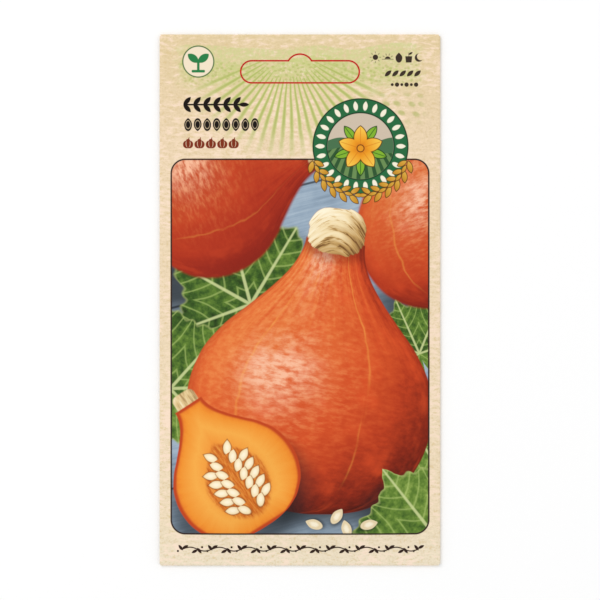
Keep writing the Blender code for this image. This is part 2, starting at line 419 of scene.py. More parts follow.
# The tools that the prints are drawn with. An Ink is a number that changes over the sheet, and a Spot is a
# place on it in millimetres, from the middle of whatever is being drawn.
EDGE = 0.10  # how softly the edge of a mark ends, in millimetres
FINE_EDGE = 0.07
TURNED_LEAST = 1e-9  # a share of a measure that is too small to count
MIX_SHARE, MIX_UNDER, MIX_OVER, MIX_RESULT = 0, 6, 7, 2  # which sockets of a colour mix are used


def combine(operation, *values):
    """Works out a new number from inks and plain numbers."""
    tree = next(value.socket.id_data for value in values if isinstance(value, Ink))
    node = tree.nodes.new("ShaderNodeMath")
    node.operation = operation
    for place, value in enumerate(values):
        if isinstance(value, Ink):
            tree.links.new(value.socket, node.inputs[place])
        else:
            node.inputs[place].default_value = value
    return Ink(node.outputs[0])


class Ink:
    """A number that changes over the sheet, with the sums that prints are worked out by."""

    def __init__(self, socket):
        self.socket = socket

    def __add__(self, other):
        return combine("ADD", self, other)

    def __sub__(self, other):
        return combine("SUBTRACT", self, other)

    def __rsub__(self, other):
        return combine("SUBTRACT", other, self)

    def __mul__(self, other):
        return combine("MULTIPLY", self, other)

    def __truediv__(self, other):
        return combine("DIVIDE", self, other)

    def __neg__(self):
        return combine("MULTIPLY", self, -1.0)

    def __abs__(self):
        return combine("ABSOLUTE", self)

    def __pow__(self, power):
        return combine("POWER", self, power)

    __radd__ = __add__
    __rmul__ = __mul__

    def least(self, other):
        return combine("MINIMUM", self, other)

    def most(self, other):
        return combine("MAXIMUM", self, other)

    def sine(self):
        return combine("SINE", self)

    def step(self, low, high):
        """0 up to low, 1 from high on, and a smooth passage between; low above high turns it round."""
        tree = self.socket.id_data
        node = tree.nodes.new("ShaderNodeMapRange")
        node.interpolation_type = "SMOOTHSTEP"
        node.inputs["From Min"].default_value = low
        node.inputs["From Max"].default_value = high
        tree.links.new(self.socket, node.inputs["Value"])
        return Ink(node.outputs["Result"])

    def inside(self, soft=EDGE):
        """A mask that is 1 where this distance from an outline is below nothing."""
        return self.step(soft, -soft)

    def curve(self, *points):
        """Follows a smooth curve through the points, from 0 to 1 each way."""
        tree = self.socket.id_data
        node = tree.nodes.new("ShaderNodeFloatCurve")
        line = node.mapping.curves[0]
        line.points[0].location = points[0]
        line.points[1].location = points[-1]
        for point in points[1:-1]:
            line.points.new(*point)
        node.mapping.update()
        tree.links.new(self.socket, node.inputs["Value"])
        return Ink(node.outputs[0])

    def ramp(self, *stops):
        """Colours along this number: each stop is a place from 0 to 1 and a colour."""
        tree = self.socket.id_data
        node = tree.nodes.new("ShaderNodeValToRGB")
        band = node.color_ramp
        band.elements[0].position, band.elements[0].color = stops[0][0], colour(*stops[0][1])
        band.elements[1].position, band.elements[1].color = stops[-1][0], colour(*stops[-1][1])
        for position, tint in stops[1:-1]:
            band.elements.new(position).color = colour(*tint)
        tree.links.new(self.socket, node.inputs["Fac"])
        return node.outputs["Color"]


class Spot:
    """A place on the sheet by its two measures. They stay two plain numbers throughout, because a big print
    that joins them into one vector again and again has no room in one material."""

    def __init__(self, x, y):
        self.x = x
        self.y = y

    def at(self, x=0.0, y=0.0, turn=0.0, size=(1.0, 1.0)):
        """The same spot measured from another middle, turned by degrees, in lengths of another size."""
        measures = []
        for shift, length in ((0, size[0]), (math.pi / 2, size[1])):
            angle = math.radians(turn) + shift
            along, across = math.cos(angle) / length, math.sin(angle) / length
            measure = -x * along - y * across
            for ink, share in ((self.x, along), (self.y, across)):
                if abs(share) > TURNED_LEAST:
                    measure = combine("MULTIPLY_ADD", ink, share, measure)
            measures.append(measure)
        return Spot(*measures)

    def reach(self):
        """How far the spot is from the middle."""
        return combine("SQRT", combine("MULTIPLY_ADD", self.x, self.x, self.y * self.y))

    def angle(self):
        """Which way the spot lies from the middle, from -pi to pi, with 0 to the right."""
        return combine("ARCTAN2", self.y, self.x)

    def box(self, half_width, half_height, round_corner=0.0):
        """The distance from a box round the middle, below nothing inside it."""
        over_x = (abs(self.x) - (half_width - round_corner)).most(0.0)
        over_y = (abs(self.y) - (half_height - round_corner)).most(0.0)
        return Spot(over_x, over_y).reach() - round_corner

    def row(self, pitch, first, last):
        """The spot measured from the nearest of a row of middles, from the first to the last along x."""
        number = combine("ROUND", self.x / pitch).most(first).least(last)
        return Spot(combine("MULTIPLY_ADD", number, -pitch, self.x), self.y), number

    def ring(self, count, radius, offset=0.0, last=None):
        """The spot measured from the nearest of some middles on a ring, with y outwards. The ring stops at
        the last of them, if that is given."""
        step = 2 * math.pi / count
        angle = self.angle() - offset
        number = combine("ROUND", angle / step)
        if last is not None:
            number = number.most(0.0).least(last)
        turn = combine("MULTIPLY_ADD", number, -step, angle)
        reach = self.reach()
        return Spot(reach * turn.sine(), reach * combine("COSINE", turn) - radius)

    def leaf(self, half_length, half_width):
        """The distance from a leaf with both ends pointed, its length along y."""
        bend = (half_length**2 + half_width**2) / (2 * half_width)
        return Spot(abs(self.x) + (bend - half_width), self.y).reach() - bend

    def drop(self, half_length, half_width, taper=0.45):
        """About the distance from a seed's outline, its narrower end up."""
        rise = (self.y / half_length).most(0.0)
        narrowed = combine("MULTIPLY_ADD", rise * rise, -taper, 1.0)
        return (Spot(self.x / narrowed / half_width, self.y / half_length).reach() - 1.0) * half_width

    def texture(self, kind, **settings):
        """A texture over the spot."""
        tree = next(value.socket.id_data for value in (self.x, self.y) if isinstance(value, Ink))
        pair = tree.nodes.new("ShaderNodeCombineXYZ")
        for measure, value in zip(pair.inputs, (self.x, self.y)):
            if isinstance(value, Ink):
                tree.links.new(value.socket, measure)
            else:
                measure.default_value = value
        node = tree.nodes.new(kind)
        for label, value in settings.items():
            node.inputs[label].default_value = value
        tree.links.new(pair.outputs[0], node.inputs["Vector"])
        return node

    def cells(self, scale, randomness=1.0):
        """The distance to the nearest of many scattered dots, with scale dots to the millimetre."""
        node = self.texture("ShaderNodeTexVoronoi", Scale=scale, Randomness=randomness)
        node.voronoi_dimensions = "2D"
        return Ink(node.outputs["Distance"]) / scale

    def noise(self, scale=1.0, detail=2.0, roughness=0.5):
        """Cloudy noise of about 0 to 1, with scale spots to the millimetre."""
        node = self.texture("ShaderNodeTexNoise", Scale=scale, Detail=detail, Roughness=roughness)
        return Ink(node.outputs[0])


def colour(red, green, blue):
    """A printed colour given as it looks on a screen, 0 to 255, as the light it gives back."""
    shares = [value / 255 for value in (red, green, blue)]
    return (*(s / 12.92 if s < 0.04045 else ((s + 0.055) / 1.055) ** 2.4 for s in shares), 1.0)


class Print:
    """A stretch of print: its colour so far, over which each further mask lays a new one. It starts from a
    colour that is given or drawn."""

    def __init__(self, tree, start):
        self.tree = tree
        self.socket = start

    def lay(self, mask, tint, share=1.0):
        """Lays a colour, given or drawn, over the print where the mask is 1."""
        if share < 1:
            mask = mask * share
        node = self.tree.nodes.new("ShaderNodeMix")
        node.data_type = "RGBA"
        self.tree.links.new(mask.socket, node.inputs[MIX_SHARE])
        for shade, place in ((self.socket, node.inputs[MIX_UNDER]), (tint, node.inputs[MIX_OVER])):
            if isinstance(shade, tuple):
                place.default_value = colour(*shade)
            else:
                self.tree.links.new(shade, place)
        self.socket = node.outputs[MIX_RESULT]

    def lay_rimmed(self, shape, rim, rim_tint, tint, soft=EDGE):
        """Lays a shape in two colours: a rim this wide, and all that is inside it."""
        self.lay(shape.inside(soft), rim_tint)
        self.lay((shape + rim).inside(soft), tint)

    def lay_group(self, group, place, within=None, **inputs):
        """Lays what a group draws at a spot over the print, by the group's own mask."""
        made = use_group(group, place, **inputs)
        mask = Ink(made["Mask"])
        self.lay(mask if within is None else mask * within, made["Color"])

    def shade(self, amount):
        """Multiplies the colour so far by a number that changes over the sheet."""
        grey = self.tree.nodes.new("ShaderNodeCombineColor")
        for share in grey.inputs:
            self.tree.links.new(amount.socket, share)
        node = self.tree.nodes.new("ShaderNodeMix")
        node.data_type = "RGBA"
        node.blend_type = "MULTIPLY"
        node.inputs[MIX_SHARE].default_value = 1.0
        self.tree.links.new(self.socket, node.inputs[MIX_UNDER])
        self.tree.links.new(grey.outputs[0], node.inputs[MIX_OVER])
        self.socket = node.outputs[MIX_RESULT]


def new_group(name, inputs, outputs):
    """A group of nodes that several prints use: its tree, the spot and the other inputs that it is given, and
    the sockets for its results."""
    tree = bpy.data.node_groups.new(name, "ShaderNodeTree")
    for direction, sockets in (("INPUT", {"X": "Float", "Y": "Float", **inputs}), ("OUTPUT", outputs)):
        for label, kind in sockets.items():
            tree.interface.new_socket(name=label, in_out=direction, socket_type=f"NodeSocket{kind}")
    given = tree.nodes.new("NodeGroupInput").outputs
    return tree, Spot(Ink(given["X"]), Ink(given["Y"])), given, tree.nodes.new("NodeGroupOutput").inputs


def use_group(group, place, **inputs):
    """Puts a group into a print at a spot, with sockets or plain values for its other inputs."""
    tree = place.x.socket.id_data
    node = tree.nodes.new("ShaderNodeGroup")
    node.node_tree = group
    for label, value in {"X": place.x, "Y": place.y, **inputs}.items():
        if isinstance(value, Ink):
            value = value.socket
        if isinstance(value, bpy.types.NodeSocket):
            tree.links.new(value, node.inputs[label])
        else:
            node.inputs[label].default_value = value
    return node.outputs


def start_print(finish, mirrored=False):
    """A finish's nodes, and the spot on the sheet in millimetres, with x mirrored for what is seen from
    behind."""
    tree = finish.node_tree
    place = tree.nodes.new("ShaderNodeTexCoord")
    measures = []
    for direction in ((-1 / MM if mirrored else 1 / MM, 0, 0), (0, 1 / MM, 0)):
        node = tree.nodes.new("ShaderNodeVectorMath")
        node.operation = "DOT_PRODUCT"
        node.inputs[1].default_value = direction
        tree.links.new(place.outputs["Object"], node.inputs[0])
        measures.append(Ink(node.outputs["Value"]))
    return tree, Spot(*measures)


# Parchment, printed all over the sheet: faint wavy streaks, specks and cloudy blotches on a warm ground
ROSY_STREAK = (248, 222, 202)
STRAW_STREAK = (224, 198, 146)
BROWN_SPECK = (205, 180, 140)

parchment, spot, given, result = new_group(
    "parchment", {"Ground": "Color"}, {"Color": "Color", "Height": "Float"}
)
wander = spot.noise(0.12, 1.0)
streaks = Spot(spot.x * 0.36, spot.y + wander * 3.0).noise(1.0, 3.0, 0.65)
specks = spot.noise(1.6, 2.0, 0.6)
blotches = spot.noise(0.07, 3.0, 0.6)
fibres = (streaks - 0.5) * 0.36 + (specks - 0.5) * 0.30 + (blotches - 0.5) * 0.14
grain = streaks * 0.5 + specks * 0.5
ground = Print(parchment, given["Ground"])
ground.shade(fibres + 1.0)
ground.lay((streaks * 0.6 + blotches * 0.4).step(0.49, 0.61), ROSY_STREAK, 0.70)
ground.lay(grain.step(0.48, 0.36), STRAW_STREAK, 0.60)
ground.lay(specks.step(0.66, 0.78), BROWN_SPECK, 0.45)
parchment.links.new(ground.socket, result["Color"])
parchment.links.new(grain.socket, result["Height"])

PRINT_GLOSS = 0.10
PRINT_ROUGHNESS = 0.56
TOOTH_STRENGTH = 0.25
TOOTH_DEPTH = 0.02 * MM


def finish_print(finish, drawn, height, gloss=PRINT_GLOSS, roughness=PRINT_ROUGHNESS):
    """Gives a finish its colour, its sheen and its faint tooth."""
    tree = finish.node_tree
    surface = tree.nodes["Principled BSDF"]
    tree.links.new(drawn, surface.inputs["Base Color"])
    surface.inputs["Roughness"].default_value = roughness
    surface.inputs["Specular IOR Level"].default_value = gloss
    tooth = tree.nodes.new("ShaderNodeBump")
    tooth.inputs["Strength"].default_value = TOOTH_STRENGTH
    tooth.inputs["Distance"].default_value = TOOTH_DEPTH
    tree.links.new(height, tooth.inputs["Height"])
    tree.links.new(tooth.outputs["Normal"], surface.inputs["Normal"])


PAPER_SHADES = (  # from the packet's bottom edge, at 0, to its top edge, at 1
    (0.0, (234, 221, 195)),
    (0.10, (234, 216, 185)),
    (0.80, (234, 211, 178)),
    (0.97, (226, 204, 162)),
)


def paper_under(place):
    """The parchment of the whole packet, which turns a little browner towards its top."""
    return use_group(parchment, place, Ground=(place.y / (height / MM) + 0.5).ramp(*PAPER_SHADES))


# The round seal that overlaps the header and the picture: a green ring of cream seeds round a small field
# with a golden squash flower, and a garland of golden leaves under it
SEAL_PLACE = (17.25, 43.82)
SEAL_RADIUS = 13.7
SEAL_FIELD = 9.40
SEAL_RIM = 0.35
SEED_RING = 11.55
GARLAND_RING = 14.0
GARLAND_END = 1.10  # how far round from straight below the garland's stem reaches, in radians
GARLAND_LEAVES = (  # ring, first leaf's turn, lean in degrees, half length, half width
    (15.25, 0.125, -38.0, 1.95, 0.90),
    (12.80, 0.125, 38.0, 1.75, 0.82),
    (GARLAND_RING, 0.04, 0.0, 1.42, 0.66),
)
CREAM = (243, 236, 214)
SEAL_DARK = (20, 58, 34)
SEAL_GREEN = (38, 104, 62)
GOLD_DARK = (86, 54, 18)
GOLD_SHADES = ((0.0, (164, 108, 30)), (0.5, (206, 152, 50)), (1.0, (228, 186, 88)))
PETAL_SHADES = ((0.0, (204, 104, 20)), (0.35, (234, 154, 34)), (1.0, (246, 200, 78)))

seal, on_seal, given, result = new_group("seal", {}, {"Color": "Color", "Mask": "Float"})
reach = on_seal.reach()
drawn = Print(seal, SEAL_DARK)
drawn.lay((reach - SEAL_RADIUS + SEAL_RIM).inside(), SEAL_GREEN)
drawn.lay(on_seal.ring(26, SEED_RING).drop(1.30, 0.64).inside(), CREAM)
drawn.lay_rimmed(reach - SEAL_FIELD - SEAL_RIM, SEAL_RIM, SEAL_DARK, (204, 188, 168))
in_field = (reach - SEAL_FIELD).inside()
far_ridge = on_seal.y - 1.6 + (on_seal.x * 0.42 + 0.8).sine() * 0.9
drawn.lay(far_ridge.inside() * in_field, (72, 112, 76))
near_ridge = (on_seal.y + 1.0 + (on_seal.x * 0.30 - 0.6).sine() * 1.0).inside() * in_field
rows = (Spot(on_seal.x, on_seal.y - 9.0).angle() * 46.0).sine()
drawn.lay(near_ridge, (104, 138, 82))
drawn.lay(near_ridge * rows.step(-0.2, 0.4), (46, 84, 48))
flower = on_seal.at(0.0, -0.6)
leaves = flower.ring(5, 4.9, math.pi / 2 + math.pi / 5)
leaf_shape = leaves.leaf(3.1, 1.35)
drawn.lay_rimmed(leaf_shape, 0.25, (28, 62, 26), (128, 176, 48))
drawn.lay((abs(leaves.x) - 0.12).inside(0.08) * (leaf_shape + 0.25).inside(), (62, 112, 32))
petals = flower.ring(5, 3.0, math.pi / 2)
petal_shape = petals.leaf(3.6, 2.05)
drawn.lay_rimmed(petal_shape, 0.25, (92, 52, 14), ((petals.y + 3.0) / 6.0).ramp(*PETAL_SHADES))
drawn.lay((abs(petals.x) - 0.10).inside(0.10) * (petal_shape + 0.5).inside(), (206, 118, 24), 0.7)
drawn.lay_rimmed(flower.reach() - 1.15, 0.30, (120, 62, 14), (226, 150, 36))
from_below = Spot(-on_seal.y, abs(on_seal.x))
stem = (abs(reach - GARLAND_RING) - 0.16).inside() * (from_below.angle() - GARLAND_END).inside(0.01)
drawn.lay((GARLAND_RING - 0.16 - reach).inside(), GOLD_DARK)
mask = (reach - SEAL_RADIUS).inside().most(stem)
for radius, offset, lean, half_length, half_width in GARLAND_LEAVES:
    garland = from_below.ring(30, radius, offset, last=5)
    blade = garland.at(0, 0, 90 + lean).leaf(half_length, half_width)
    drawn.lay_rimmed(blade, 0.20, GOLD_DARK, (garland.x * 0.22 + 0.5).ramp(*GOLD_SHADES))
    mask = mask.most(blade.inside())
seal.links.new(drawn.socket, result["Color"])
seal.links.new(mask.socket, result["Mask"])

# The header: faint farmed hills behind a red line round the hang slot, a ring badge with a seedling, rows of
# leaves, seeds and squashes in place of a title, and small pictures for how to grow them
INK = (22, 15, 12)
RED_BROWN = (125, 45, 20)
SMALL_INK = (58, 46, 36)
FAR_LAND = (203, 207, 140)
LAND = (197, 203, 128)
LAND_SHADE = (168, 178, 92)
BADGE_GREEN = (40, 125, 70)
SLOT_RED = (200, 14, 26)
SLOT_LINE = 0.23  # half the width of the red line
HILLS = ((72.2, 6.0, 3.1, FAR_LAND, 62.0), (67.6, 10.0, 7.7, LAND, 58.0))  # level, swing, seed, colour, foot
FURROWS = 58.0
BADGE_PLACE = (-28.99, 67.97)
BADGE_RADIUS = 4.60
LEAF_ROW = (-32.4, 55.7)
SEED_ROW = (-31.9, 50.0)
SQUASH_ROW = (-31.9, 44.6)
SMALL_SIZE = 1.25

tree, place = start_print(finishes[HEADER_PRINT])
paper = paper_under(place)
drawn = Print(tree, paper["Color"])
wobble = place.noise(0.16, 2.0) - 0.5
ragged = place.noise(0.5, 2.0, 0.6) - 0.5
side_fade = (abs(place.x) + ragged * 9.0).step(37.0, 31.0)
washed = place.noise(0.9, 2.0, 0.6).step(0.25, 0.62)
for level, swing, seed, tint, foot in HILLS:
    skyline = Spot(place.x * 0.05, seed).noise(1.0, 1.0)
    hill = (place.y - level - (skyline - 0.5) * swing).inside(0.3)
    drawn.lay(hill * (place.y + ragged * 6.0).step(foot, foot + 7.0) * side_fade * washed, tint, 0.72)
bushes = (Spot(place.x, place.y * 1.3 + wobble * 3.0).cells(0.62, 0.8) - 0.42).inside(0.2)
drawn.lay(bushes * place.y.step(60.0, 63.0) * place.y.step(68.5, 67.0) * side_fade, LAND_SHADE, 0.50)
fan = place.at(-3.0, 71.5)
around = combine("ARCTAN2", fan.x, -fan.y)
furrows = (around * FURROWS + wobble * 1.2).sine()
spread = fan.reach() + ragged * 5.0
field = spread.step(7.5, 10.0) * spread.step(34.0, 19.0) * abs(around).step(1.30, 1.12)
drawn.lay(field * furrows.step(-0.35, 0.35), LAND, 0.80)
drawn.lay(field * furrows.step(0.45, 0.85), LAND_SHADE, 0.70)
orchard = (Spot(place.x * 0.8 + place.y * 0.35, place.y).cells(0.36, 0.25) - 0.75).inside(0.35)
orchard = orchard * place.x.step(17.0, 22.0) * place.x.step(37.0, 33.0)
drawn.lay(orchard * place.y.step(49.0, 53.0) * place.y.step(60.0, 57.5), LAND_SHADE, 0.60)


def from_slot_edge(place):
    """How far the spot is from the hang slot's outline, its hump included."""
    slot = place.at(0.0, slot_y / MM).box(SLOT_WIDTH / 2 / MM, SLOT_HEIGHT / 2 / MM, SLOT_HEIGHT / 2 / MM)
    hump = place.at(0.0, hump_y / MM).reach() - hump_radius / MM
    return abs(slot.least(hump))


def alternate(number):
    """1 at the even places of a row and -1 at the odd ones."""
    return 1.0 - combine("PINGPONG", number, 1.0) * 2.0


drawn.lay((from_slot_edge(place) - SLOT_LINE).inside(FINE_EDGE), SLOT_RED)

badge = place.at(*BADGE_PLACE)
drawn.lay_rimmed(badge.reach() - BADGE_RADIUS, 0.36, (84, 116, 66), (240, 224, 198))
for side in (-1, 1):
    drawn.lay(badge.at(side * 1.45, 0.95, side * -52).leaf(1.95, 1.05).inside(), BADGE_GREEN)
drawn.lay(badge.at(0, -1.1).box(0.36, 1.7, 0.2).inside(), BADGE_GREEN)
drawn.lay(badge.at(0, -2.75).box(1.9, 0.38, 0.3).inside(), BADGE_GREEN)

# In place of the title: a leafy twig, then seeds that point up and down by turns, then small squashes
leaf_row, number = place.at(*LEAF_ROW).row(2.85, 0, 5)
leaf_pair = Spot(leaf_row.x, abs(leaf_row.y))
drawn.lay(leaf_pair.at(0.20, 0.98, -42).leaf(1.60, 0.66).inside(0.08), INK)
twig = place.at(*LEAF_ROW)
drawn.lay(twig.at(7.8, 0).box(8.6, 0.24, 0.2).inside(0.08), INK)
drawn.lay(twig.at(16.4, 0, -90).leaf(1.5, 0.62).inside(0.08), INK)
seed_row, number = place.at(*SEED_ROW).row(2.72, 0, 7)
seed_mark = Spot(seed_row.x, seed_row.y * alternate(number)).drop(1.85, 1.12)
drawn.lay(seed_mark.inside(FINE_EDGE), INK)
drawn.lay((abs(seed_mark + 0.42) - 0.06).inside(FINE_EDGE), (222, 200, 162), 0.85)
squash_row, number = place.at(*SQUASH_ROW).row(3.25, 0, 4)
squash_mark = squash_row.at(0, -0.25).box(1.45, 1.12, 1.05).least(squash_row.at(0, 0.55).box(0.55, 0.75, 0.4))
drawn.lay(squash_mark.inside(0.08), RED_BROWN)
drawn.lay(squash_row.at(0.18, 1.35, -20).box(0.14, 0.42, 0.1).inside(0.06), RED_BROWN)
ribs = abs(squash_row.x / combine("SQRT", (1.35 - squash_row.y**2).most(0.05)))
drawn.lay((abs(ribs - 0.52) - 0.07).inside(0.06) * (squash_mark + 0.28).inside(0.08), (240, 214, 180), 0.85)


def small_picture(x, y):
    """The spot from the middle of one of the small pictures."""
    return place.at(x, y, 0, (SMALL_SIZE, SMALL_SIZE))


# How to grow them: sun, half sun, drop, pot with a seedling and moon, and under them leaves and dots
sun = small_picture(21.5, 69.2)
drawn.lay((sun.reach() - 0.62).least(sun.ring(8, 1.08).box(0.09, 0.2)).inside(FINE_EDGE), SMALL_INK)
half_sun = small_picture(25.0, 68.6)
half_disc = (half_sun.reach() - 0.68).least(half_sun.ring(10, 1.15).box(0.09, 0.22)).most(0.1 - half_sun.y)
drawn.lay(half_disc.least(half_sun.box(1.3, 0.09)).inside(FINE_EDGE), SMALL_INK)
drawn.lay(small_picture(28.2, 69.1).drop(1.15, 0.78, 0.75).inside(FINE_EDGE), SMALL_INK)
pot = small_picture(31.0, 68.6)
drawn.lay(Spot(pot.x / (1.0 + pot.y * 0.16), pot.y).box(0.72, 0.72, 0.1).inside(FINE_EDGE), SMALL_INK)
drawn.lay(pot.at(0, 1.1).box(0.09, 0.45).inside(0.06), SMALL_INK)
drawn.lay(pot.at(0.42, 1.35, -58).leaf(0.55, 0.24).inside(0.06), SMALL_INK)
moon = small_picture(33.9, 69.1)
drawn.lay((moon.reach() - 0.95).most(0.85 - moon.at(0.42, 0.25).reach()).inside(FINE_EDGE), SMALL_INK)
small_row, number = place.at(25.1, 64.6).row(2.1, 0, 4)
drawn.lay(small_row.at(0, 0, -48).leaf(1.25, 0.56).inside(FINE_EDGE), SMALL_INK)
dot_row, number = place.at(26.3, 61.4).row(1.36, 0, 5)
dot_size = combine("PINGPONG", number, 1.0) * 0.20 + 0.42
drawn.lay((dot_row.reach() - dot_size).inside(FINE_EDGE), SMALL_INK)
drawn.lay_group(seal, place.at(*SEAL_PLACE))
finish_print(finishes[HEADER_PRINT], drawn.socket, paper["Height"])

# What the printed picture shows is drawn with these groups. A squash is drawn as a turned shape, lit from the
# upper left: its spot is measured from its base, with its stalk's end at a height of 1.
SQUASH_PROFILE = ((0, 0.14), (0.012, 0.32), (0.04, 0.52), (0.1, 0.73), (0.22, 0.93), (0.36, 1), (0.5, 0.96),
                  (0.62, 0.82), (0.72, 0.62), (0.82, 0.42), (0.9, 0.30), (0.96, 0.25), (1, 0.24))
SQUASH_HALF_WIDTH = 0.45
LIGHT = Vector((-0.46, 0.62, 0.64))
SKIN = ((0.0, (70, 18, 10)), (0.2, (134, 38, 18)), (0.4, (184, 60, 27)), (0.58, (208, 79, 35)),
        (0.74, (221, 101, 47)), (0.88, (232, 130, 66)), (1.0, (240, 168, 112)))
CORK = ((0.0, (122, 84, 44)), (0.35, (196, 158, 98)), (0.7, (240, 218, 172)), (1.0, (252, 242, 214)))
PROFILE_STEP = 0.012  # how far apart two widths are taken for the skin's slope
SKIN_LINES = (-0.62, 0.48)

squash, spot, given, result = new_group(
    "squash_picture",
    {"LightX": "Float", "LightY": "Float", "Redness": "Float", "Soft": "Float"},
    {"Color": "Color", "Mask": "Float"},
)
light_x, light_y, redness, soft = (Ink(given[label]) for label in ("LightX", "LightY", "Redness", "Soft"))
below = (spot.y - PROFILE_STEP).curve(*SQUASH_PROFILE)
above = (spot.y + PROFILE_STEP).curve(*SQUASH_PROFILE)
half = ((below + above) * (SQUASH_HALF_WIDTH / 2)).most(0.004)
slope = (above - below) * (SQUASH_HALF_WIDTH / (2 * PROFILE_STEP))
steep = combine("SQRT", slope * slope + 1.0)
share = (spot.x / half).most(-1.0).least(1.0)
depth = combine("SQRT", 1.0 - share * share)
longitude = combine("ARCSINE", share)
sideways = share * light_x - slope * light_y
facing = (sideways + depth * LIGHT.z) / steep
gleam = ((sideways + depth * (LIGHT.z + 1.0)) / steep / 1.72).most(0.0)
dashes = Spot(longitude * 9.0 + redness * 31.0, spot.y * 50.0).noise(1.0, 3.0, 0.65)
patches = Spot(longitude * 3.0, spot.y * 7.0 + redness * 17.0).noise(1.0, 2.0, 0.6)
streaks = Spot(longitude * 10.0 + 5.0, spot.y * 1.6 + redness * 9.0).noise(1.0, 2.0, 0.6)
near_neck = spot.y.step(0.45, 0.95)
sharp = soft.step(0.0095, 0.0035) * 0.55 + 0.45
tone = facing * 0.50 + 0.34 + ((dashes - 0.5) * 0.30 + (patches - 0.5) * 0.16) * sharp
tone = tone + (streaks - 0.5) * (near_neck * 0.50 + 0.10) + (longitude * 11.0).sine() * 0.014
drawn = Print(squash, tone.ramp(*SKIN))
drawn.lay(patches.step(0.50, 0.72), (226, 84, 40), 0.35)
wander = (spot.y * 7.0).sine() * 0.03 + (patches - 0.5) * 0.14
for middle in SKIN_LINES:
    line = abs(longitude - middle + wander) - 0.008
    drawn.lay(line.inside(0.018) * streaks.step(0.36, 0.58) * spot.y.step(0.08, 0.25), (247, 170, 76), 0.55)
drawn.lay(redness, (164, 38, 24), 0.70)
drawn.lay((gleam**5.0) * dashes.step(0.42, 0.75), (240, 152, 88), 0.50)
drawn.lay((gleam**24.0) * (dashes * 0.6 + patches * 0.4).step(0.32, 0.78), (246, 186, 152), 0.62)
drawn.lay((1.0 - depth).step(0.55, 1.0), (150, 44, 20), 0.45)
edge = (abs(spot.x) - half) / steep
body = (edge / soft).step(1.0, -1.0) * (spot.y / soft).step(-1.0, 1.0)
body = body * ((spot.y - 1.0) / soft).step(1.0, -1.0)
cork = spot.at(0.0, 1.035)
cork_wave = Spot(cork.x * 6.0, cork.y * 30.0 + cork.x * cork.x * 200.0).noise(1.0, 2.0, 0.6)
cork_edge = cork.box(0.105, 0.085, 0.07) - (cork_wave - 0.5) * 0.03
cork_crack = Spot(cork.x * 9.0, cork.y * 52.0 + cork.x * cork.x * 340.0).noise(1.0, 3.0, 0.7)
cork_tone = (cork.x * light_x + cork.y * light_y) * 6.0 + 0.60 + (cork_wave - 0.5) * 1.2
cork_tone = cork_tone - cork_crack.step(0.48, 0.36) * 0.45
cork_mask = (cork_edge / soft).step(1.0, -1.0)
drawn.lay((cork_edge - 0.02).step(0.03, -0.02), (120, 36, 18), 0.55)
drawn.lay(cork_mask, cork_tone.ramp(*CORK))
squash.links.new(drawn.socket, result["Color"])
squash.links.new(body.most(cork_mask).socket, result["Mask"])

# A squash leaf, measured from where its stalk joins it, its tip at a height of 1: shallow lobes with a
# toothed margin, pale veins that fork to the lobes, and blistered green between them
LEAF_REACH = ((0, 1), (0.12, 0.80), (0.25, 0.92), (0.38, 0.70), (0.52, 0.80), (0.7, 0.62), (0.85, 0.56),
              (0.95, 0.36), (1, 0.12))
LEAF_TEETH = 34.0
LEAF_VEINS = (0.0, 0.80, 1.66)  # how far each vein lies from the middle one, in radians
SIDE_VEIN_PITCH = 0.155
LEAF_SHADES = ((0.0, (28, 44, 18)), (0.3, (58, 90, 33)), (0.55, (98, 130, 50)),
               (0.8, (142, 168, 80)), (1.0, (196, 208, 132)))

leaf_picture, spot, given, result = new_group(
    "leaf_picture", {"Tone": "Float", "Soft": "Float"}, {"Color": "Color", "Mask": "Float"}
)
soft = Ink(given["Soft"])
reach = spot.reach()
angle = abs(combine("ARCTAN2", spot.x, spot.y))
teeth = (angle * LEAF_TEETH).sine() * 0.018 + (spot.noise(5.0, 2.0) - 0.5) * 0.10
limit = (angle / math.pi).curve(*LEAF_REACH) + teeth
edge = reach - limit
nearest = None
for vein in LEAF_VEINS:
    turned = angle - vein
    off = abs(reach * turned.sine()) + combine("COSINE", turned).step(0.3, 0.1)
    nearest = off if nearest is None else nearest.least(off)
along = combine("SQRT", (reach * reach - nearest * nearest).most(0.0))
bowed = nearest * (0.55 + nearest * 1.4) + (spot.noise(3.0, 1.0) - 0.5) * 0.05
side_vein = abs(combine("FRACT", (along - bowed) / SIDE_VEIN_PITCH) - 0.5)
blister = spot.noise(13.0, 3.0, 0.65)
tone = Ink(given["Tone"]) + (side_vein - 0.25) * 0.34 + (blister - 0.5) * 0.9
tone = tone + (spot.noise(2.2, 1.0) - 0.5) * 0.8 + spot.x * 0.12
drawn = Print(leaf_picture, tone.ramp(*LEAF_SHADES))
drawn.lay((0.5 - side_vein - 0.05).step(0.06, -0.02), (170, 192, 110), 0.45)
drawn.lay((nearest - 0.008 - limit * 0.008 + along * 0.010).step(0.012, -0.006), (204, 214, 150), 0.80)
drawn.lay(edge.step(-0.035, 0.0), (196, 208, 128), 0.45)
leaf_picture.links.new(drawn.socket, result["Color"])
leaf_picture.links.new((edge / soft).step(1.0, -1.0).socket, result["Mask"])

